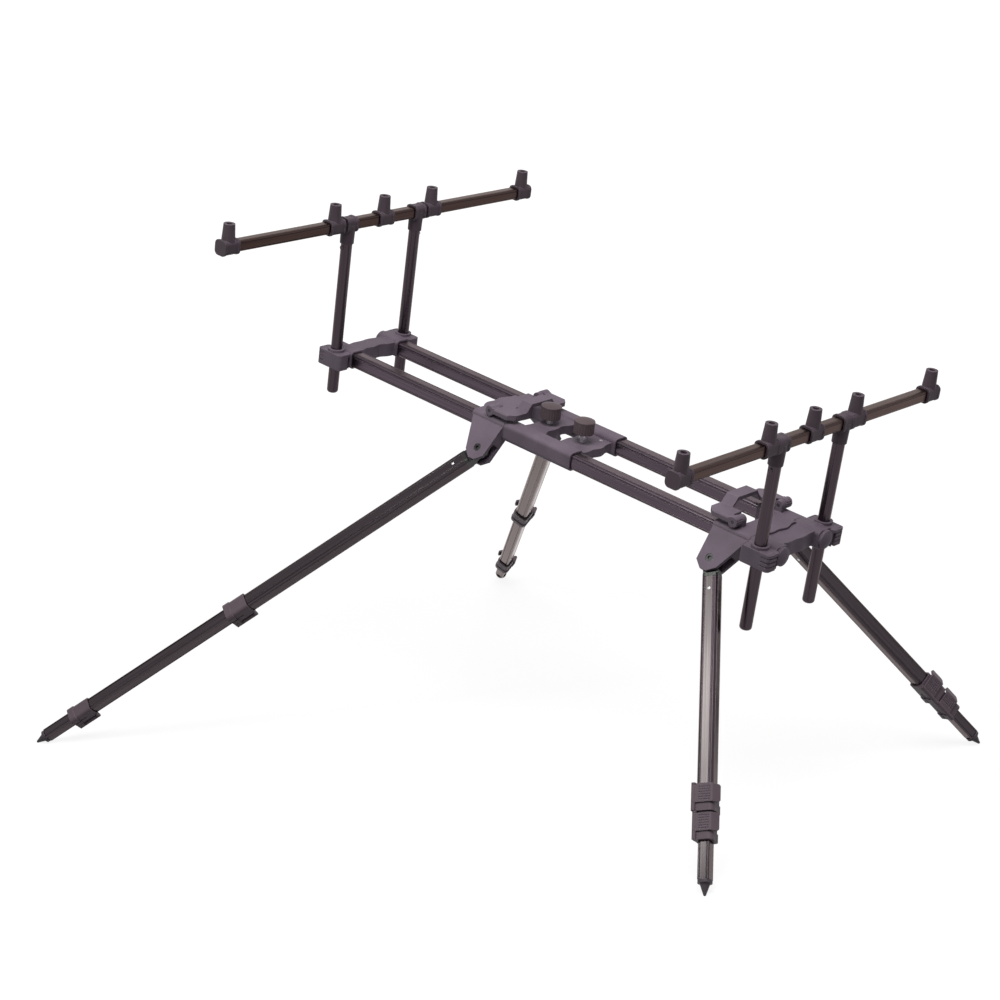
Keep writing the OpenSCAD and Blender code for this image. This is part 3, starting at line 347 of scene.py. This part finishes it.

# %% [markdown]
# One recipe serves all tubes. Round posts have no grooves, so for them only the scratches are raised. Square
# tubes are given the way one face looks, a point on the axis and half their width, and their grooves are
# sunk and darkened with painted shade. The legs are polished more than the rails, so they mirror more sharply.

# %% Anodised tubes
RAIL_TINTS = ((0.056, 0.042, 0.054), (0.108, 0.082, 0.104))
POST_TINTS = ((0.042, 0.031, 0.038), (0.064, 0.048, 0.058))
BAR_TINTS = ((0.030, 0.017, 0.015), (0.072, 0.045, 0.040))
LEG_TINTS = ((0.035, 0.0275, 0.032), (0.064, 0.0515, 0.058))
RAIL_POLISH = (0.24, 0.32)
LEG_POLISH = (0.13, 0.19)
# Pale edge tint of the tubes: painted highlight along the edges, besides some wear.
WEAR_AND_HIGHLIGHT_TINT = (0.22, 0.18, 0.19)
RIM_TINT = (1.0, 0.92, 0.90, 1.0)
# Painted shade: the dark colour laid into the grooves stands in for the shade inside them.
GROOVE_SHADE = (0.020, 0.014, 0.018)
GROOVE_DEPTH = 0.0002
SCRATCH_DEPTH = 0.00002
SCRATCH_STRETCH = (1.0, 0.004, 0.004)
SCRATCH_CELLS = 6.0
CLOUD_CELLS = 14.0
TUBE_EDGE = 0.0005
TUBE_WEAR_AND_HIGHLIGHT = 0.5
PLAIN = (1.0, 1.0, 1.0)


def anodised(name, tints, polish, direction, across=None, centre=ORIGIN, half=0.0, pair=0.0):
    """Dyed metal tube with scratches along it, and with sunk grooves of painted shade if a face and the half
    width are given.
    """
    mat, tree, shader, place = new_finish(name)
    turn = tube_axes(direction, across or Vector(direction).orthogonal())
    scratches = noise(tree, turned(tree, place, turn, SCRATCH_STRETCH), SCRATCH_CELLS, 4.0)
    clouds = noise(tree, place, CLOUD_CELLS, 2.0)
    soft = rounded_edges(tree, TUBE_EDGE)
    # The tube's edges are painted paler: painted highlight besides some wear.
    colour = worn_and_highlit_edges(tree, soft, colour_ramp(tree, scratches, *tints), WEAR_AND_HIGHLIGHT_TINT, TUBE_WEAR_AND_HIGHLIGHT)
    relief, depth = scratches, SCRATCH_DEPTH
    if across is not None:
        lined = turned(tree, place, turn, PLAIN, centre)
        sides = groove(tree, lined, "Y", half, 0.0)
        faces = groove(tree, lined, "Z", half, pair)
        relief = arithmetic(tree, "MULTIPLY", sides, faces)
        depth = GROOVE_DEPTH
        # Painted shade: the grooves get a dark colour in place of the shade that falls inside them.
        colour = blend_colours(tree, relief, GROOVE_SHADE, colour)
    tree.links.new(colour, shader.inputs["Base Color"])
    tree.links.new(remapped(tree, clouds, NOISE_ENDS, polish), shader.inputs["Roughness"])
    shader.inputs["Metallic"].default_value = 1.0
    shader.inputs["Specular Tint"].default_value = RIM_TINT
    raise_surface(tree, shader, relief, depth, soft)
    return mat


print("tube recipe: anodised, polish", RAIL_POLISH, "for rails and", LEG_POLISH, "for legs")

# %% [markdown]
# The blocks, collars, sockets and levers are moulded in glass-filled nylon. Its mould is spark-eroded, so the
# skin has a fine even grain, and the colour clouds slightly where the melt flowed. Edges catch the light, which
# a softened edge normal shows, and are painted paler: painted highlight besides some wear.

# %% Moulded nylon
NYLON_DARK = (0.118, 0.090, 0.118)
NYLON_LIGHT = (0.188, 0.147, 0.188)
# Pale edge tint of the mouldings: painted highlight along the edges, besides some wear.
NYLON_EDGE_WEAR_AND_HIGHLIGHT = (0.30, 0.25, 0.30)
NYLON_GLOSS = 0.22
SKIN_CELLS = 1500.0
SKIN_DEPTH = 0.00006
FLOW_CELLS = 22.0
SPECKLE_CELLS = 420.0
SPECKLE_SHARE = 0.5
MOULD_EDGE = 0.0009
MOULD_WEAR_AND_HIGHLIGHT = 0.6
SMOOTHER, ROUGHER = 0.06, 0.08


def nylon(name, dark, light, rough, gloss=NYLON_GLOSS, edge_wear_and_highlight=NYLON_EDGE_WEAR_AND_HIGHLIGHT, grain=SKIN_DEPTH):
    """Moulded plastic with a fine grain, and paler edges of painted highlight and some wear."""
    mat, tree, shader, place = new_finish(name)
    skin = noise(tree, place, SKIN_CELLS, 2.0)
    flow = noise(tree, place, FLOW_CELLS, 4.0)
    speckle = arithmetic(tree, "MULTIPLY", noise(tree, place, SPECKLE_CELLS, 3.0), SPECKLE_SHARE)
    soft = rounded_edges(tree, MOULD_EDGE)
    body = blend_colours(tree, speckle, colour_ramp(tree, flow, dark, light), dark)
    # The moulding's edges are painted paler: painted highlight besides some wear.
    tree.links.new(worn_and_highlit_edges(tree, soft, body, edge_wear_and_highlight, MOULD_WEAR_AND_HIGHLIGHT), shader.inputs["Base Color"])
    polish = remapped(tree, flow, NOISE_ENDS, (rough - SMOOTHER, rough + ROUGHER))
    tree.links.new(polish, shader.inputs["Roughness"])
    shader.inputs["Specular IOR Level"].default_value = gloss
    raise_surface(tree, shader, skin, grain, soft)
    return mat


print("nylon recipe with a grain of", SKIN_DEPTH, "m")

# %% [markdown]
# The knobs' studs are zinc plated: bright, slightly mottled metal. The same recipe with dark tints makes the
# blackened bolts and pins. The inner rails are plain drawn aluminium and only show when the pod is pulled out.

# %% Bright metal
MOTTLE_CELLS = 260.0
MOTTLE_DEPTH = 0.00002
BRIGHTER, DULLER = 0.05, 0.1


def bright_metal(name, dark, light, rough):
    """Plated or bare metal with a mottled polish."""
    mat, tree, shader, place = new_finish(name)
    mottle = noise(tree, place, MOTTLE_CELLS, 4.0)
    tree.links.new(colour_ramp(tree, mottle, dark, light), shader.inputs["Base Color"])
    polish = remapped(tree, mottle, NOISE_ENDS, (rough - BRIGHTER, rough + DULLER))
    tree.links.new(polish, shader.inputs["Roughness"])
    shader.inputs["Metallic"].default_value = 1.0
    raise_surface(tree, shader, mottle, MOTTLE_DEPTH)
    return mat


print("metal recipe with", MOTTLE_CELLS, "mottles to the metre")

# %% [markdown]
# A tube's recipe needs its direction and its width, and both are in the CAD model: a tube runs along the axis
# of the joint that slides it, and its outermost face gives half its width. The two rails of an end are one
# node, each as far from the middle of the pod as the other, so that distance is taken off first.

# %% Measure the solids
RAIL_POINT = (0.06153, 0.0, 0.4211)
RAIL_OUT = 0.0455
ACROSS = (0.0, 1.0, 0.0)


def joint_of(name):
    """One joint of the CAD model."""
    return next(joint for joint in frame["joints"] if joint["name"] == name)


def joint_axis(name):
    """Direction of a joint, which a sliding tube shares."""
    return joint_of(name)["axis"]


def middle_of(name):
    """Middle of a node's box, which lies on a straight tube's axis."""
    low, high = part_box(name)
    return tuple((a + b) / 2.0 for a, b in zip(low, high))


def face_height(name, point, outward):
    """How far a node's outermost face lies from a point, in a direction."""
    mesh = nodes[name].data
    return max((vertex.co - Vector(point)).dot(Vector(outward).normalized()) for vertex in mesh.vertices)


pod_along = joint_axis("front_pull_out")
pod_up = joint_axis("front_bar_raise")
rail_half = face_height("front_rails", RAIL_POINT, ACROSS) - RAIL_OUT
print("rails", round(rail_half * 2000.0, 2), "mm wide, along", pod_along)

# %% [markdown]
# Now the finishes are mixed. All mouldings share one recipe and differ in how dark they are in the photograph:
# the blocks are palest, then come collars and knobs, then the sockets on the bars. The leg heads between the
# plates are a glossy black, so they get more gloss and a finer grain.

# %% Mix the finishes
rail_tube = anodised("rail_tube", RAIL_TINTS, RAIL_POLISH, pod_along, ACROSS, RAIL_POINT, rail_half, RAIL_OUT)
post_tube = anodised("post_tube", POST_TINTS, RAIL_POLISH, pod_up)
block_nylon = nylon("block_nylon", NYLON_DARK, NYLON_LIGHT, 0.58)
socket_nylon = nylon("socket_nylon", (0.062, 0.044, 0.056), (0.094, 0.068, 0.086), 0.55)
collar_nylon = nylon("collar_nylon", (0.096, 0.070, 0.085), (0.142, 0.105, 0.125), 0.5)
knob_nylon = nylon("knob_nylon", (0.084, 0.060, 0.066), (0.125, 0.091, 0.098), 0.55)
# The head's grey edge tint is painted highlight along its edges, besides some wear.
head_nylon = nylon("head_nylon", (0.009, 0.008, 0.009), (0.016, 0.014, 0.016), 0.16, gloss=0.4,
                   edge_wear_and_highlight=(0.06, 0.06, 0.06), grain=0.00002)
spike_nylon = nylon("spike_nylon", (0.060, 0.049, 0.059), (0.098, 0.081, 0.094), 0.5)
zinc_steel = bright_metal("zinc_steel", (0.52, 0.52, 0.54), (0.72, 0.72, 0.73), 0.28)
black_steel = bright_metal("black_steel", (0.030, 0.028, 0.031), (0.060, 0.056, 0.060), 0.3)
drawn_aluminium = bright_metal("drawn_aluminium", (0.55, 0.55, 0.56), (0.68, 0.68, 0.69), 0.34)
print("shared finishes:", [mat.name for mat in (rail_tube, post_tube, block_nylon, socket_nylon, collar_nylon,
                                                knob_nylon, head_nylon, spike_nylon, zinc_steel, black_steel,
                                                drawn_aluminium)])

# %% [markdown]
# The frame has the same pieces at both ends, so one list says which finish each piece gets. The bars lie
# across the pod at places of their own, so each has its own finish, with its grooves counted from its axis.

# %% Dress the frame
ENDS = ("front", "rear")
FRAME_FINISHES = {"rails": rail_tube, "posts": post_tube, "end_block": block_nylon, "yoke": block_nylon,
                  "leg_block": block_nylon, "cam_lever": block_nylon, "bar_fittings": socket_nylon,
                  "knob": knob_nylon, "knob_stud": zinc_steel, "pins": black_steel}


def dress(name, finish):
    """Puts a finish on a CAD node."""
    slots = nodes[name].data.materials
    slots.clear()
    slots.append(finish)


for end in ENDS:
    for part, finish in FRAME_FINISHES.items():
        dress(f"{end}_{part}", finish)
    bar = f"{end}_bar"
    bar_middle = middle_of(bar)
    bar_half = face_height(bar, bar_middle, pod_up)
    dress(bar, anodised(f"{bar}_tube", BAR_TINTS, RAIL_POLISH, ACROSS, pod_up, bar_middle, bar_half))
    print(bar, round(bar_half * 2000.0, 2), "mm wide")
dress("inner_rails", drawn_aluminium)

# %% [markdown]
# Each leg leans its own way, and its three tubes differ in width, so every leg tube has its own finish too.
# The fold joint gives what they need: its place is on the leg's axis, and two faces look along its pin.

# %% Dress the legs
LEGS = [f"{end}_{side}" for end in ENDS for side in ("left", "right")]
LEG_TUBES = ("upper_tube", "middle_tube", "lower_tube")
LEG_FINISHES = {"upper_collar": collar_nylon, "lower_collar": collar_nylon, "upper_lever": collar_nylon,
                "lower_lever": collar_nylon, "head": head_nylon, "spike": spike_nylon}

for leg in LEGS:
    fold = joint_of(f"{leg}_fold")
    down = joint_axis(f"{leg}_middle_pull")
    for part in LEG_TUBES:
        tube = f"{leg}_{part}"
        tube_half = face_height(tube, fold["pos_m"], fold["axis"])
        dress(tube, anodised(tube, LEG_TINTS, LEG_POLISH, down, fold["axis"], fold["pos_m"], tube_half))
        print(tube, round(tube_half * 2000.0, 2), "mm wide")
    for part, finish in LEG_FINISHES.items():
        dress(f"{leg}_{part}", finish)

# %% [markdown]
# A rivet goes through each leg tube just below its head and keeps the head's plug in. Its head is a shallow
# dome. It could be turned on a lathe, but a ball cut off by a plane gives the same dome in two steps. It is
# modelled once at the origin, with its flat side on the ground.

# %% Rivet pattern
RIVET_BALL = 0.0034
RIVET_CUT = 0.0025
UPWARDS = (0.0, 0.0, 1.0)

select_none()
bpy.ops.mesh.primitive_uv_sphere_add(segments=24, ring_count=16, radius=RIVET_BALL, location=ORIGIN)
rivet_pattern = bpy.context.object
bpy.ops.object.mode_set(mode="EDIT")
bpy.ops.mesh.select_all(action="SELECT")
bpy.ops.mesh.bisect(plane_co=(0.0, 0.0, RIVET_CUT), plane_no=UPWARDS, use_fill=True, clear_inner=True)
bpy.ops.mesh.select_all(action="SELECT")
bpy.ops.transform.translate(value=(0.0, 0.0, -RIVET_CUT))
bpy.ops.object.mode_set(mode="OBJECT")
print("rivet head", RIVET_BALL - RIVET_CUT, "m high, vertices:", len(rivet_pattern.data.vertices))

# %% [markdown]
# Each copy is laid on a leg with its dome outwards, on the two faces that look along the fold pin, and a hair
# into the tube, so that no light shows under it. A copy has its own mesh, is frozen where it sits, and rides on
# the body that carries the leg.

# %% Rivets on the legs
RIVET_SINK = 0.0003
RIVET_DOWN = 0.0405
SMOOTH_ANGLE = math.radians(40.0)


def seated_copy(pattern, point, outward):
    """A copy of a pattern with a mesh of its own, standing on a point and looking outwards."""
    piece = pattern.copy()
    piece.data = pattern.data.copy()
    bpy.context.scene.collection.objects.link(piece)
    piece.matrix_world = Matrix.Translation(point) @ outward.to_track_quat("Z", "Y").to_matrix().to_4x4()
    return piece


def settle(piece, name, finish, body):
    """Freezes a placed piece, names it, gives it its finish and lets it ride on a body."""
    select_none()
    piece.select_set(True)
    bpy.context.view_layer.objects.active = piece
    bpy.ops.object.transform_apply(location=True, rotation=True, scale=True)
    bpy.ops.object.shade_smooth_by_angle(angle=SMOOTH_ANGLE)
    piece.name = name
    piece.data.name = name
    piece.data.materials.append(finish)
    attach(piece, body)


def remove(piece):
    """Takes a pattern or a cutter away when it has done its work."""
    bpy.data.objects.remove(piece, do_unlink=True)


for leg in LEGS:
    fold = joint_of(f"{leg}_fold")
    pivot = Vector(fold["pos_m"])
    down = Vector(joint_axis(f"{leg}_middle_pull"))
    for face, sign in (("near", 1.0), ("far", -1.0)):
        outward = Vector(fold["axis"]).normalized() * sign
        reach = face_height(f"{leg}_upper_tube", pivot, outward) - RIVET_SINK
        seat = pivot + down * RIVET_DOWN + outward * reach
        rivet = seated_copy(rivet_pattern, seat, outward)
        settle(rivet, f"{leg}_rivet_{face}", zinc_steel, f"{leg}_leg")
        print(rivet.name, "at", [round(value, 4) for value in seat])
remove(rivet_pattern)

# %% [markdown]
# Two screws hold the rear yoke's web. Each sits in a counterbore of the CAD model. The head is a short
# cylinder with a rounded rim, and its cross recess is cut with two crossed blocks.

# %% Screw pattern
SCREW_RADIUS = 0.0029
SCREW_HEIGHT = 0.0015
RECESS_LONG = 0.0034
RECESS_WIDE = 0.0008
RECESS_DEEP = 0.0009
RIM_ROUND = 0.00035

select_none()
bpy.ops.mesh.primitive_cylinder_add(vertices=40, radius=SCREW_RADIUS, depth=SCREW_HEIGHT,
                                    location=(0.0, 0.0, SCREW_HEIGHT / 2.0))
screw_pattern = bpy.context.object
bpy.ops.object.transform_apply(location=True, rotation=True, scale=True)
for long, wide in ((RECESS_LONG, RECESS_WIDE), (RECESS_WIDE, RECESS_LONG)):
    select_none()
    bpy.ops.mesh.primitive_cube_add(size=1.0, location=(0.0, 0.0, SCREW_HEIGHT))
    cutter = bpy.context.object
    cutter.scale = (long, wide, RECESS_DEEP * 2.0)
    bpy.ops.object.transform_apply(location=True, rotation=True, scale=True)
    cut = screw_pattern.modifiers.new("recess", "BOOLEAN")
    cut.operation = "DIFFERENCE"
    cut.object = cutter
    bpy.context.view_layer.objects.active = screw_pattern
    bpy.ops.object.modifier_apply(modifier=cut.name)
    remove(cutter)
rim = screw_pattern.modifiers.new("rim", "BEVEL")
rim.width = RIM_ROUND
rim.segments = 3
rim.limit_method = "ANGLE"
bpy.context.view_layer.objects.active = screw_pattern
bpy.ops.object.modifier_apply(modifier=rim.name)
print("screw head", SCREW_HEIGHT, "m high, vertices:", len(screw_pattern.data.vertices))

# %% [markdown]
# The screws stand square to the web, which slopes with the pod, so they look the way the bars rise. They
# sink a hair into the floor of the counterbore and ride on the rear half of the frame.

# %% Screws in the rear yoke
SCREW_SEATS = ((0.10105, -0.028, 0.41689), (0.10105, 0.028, 0.41689))
SCREW_SINK = 0.0001

outward = Vector(pod_up)
for number, seat in enumerate(SCREW_SEATS, start=1):
    screw = seated_copy(screw_pattern, Vector(seat) - outward * SCREW_SINK, outward)
    settle(screw, f"rear_yoke_screw_{number}", zinc_steel, "rear_frame")
    print(screw.name, "at", seat)
remove(screw_pattern)
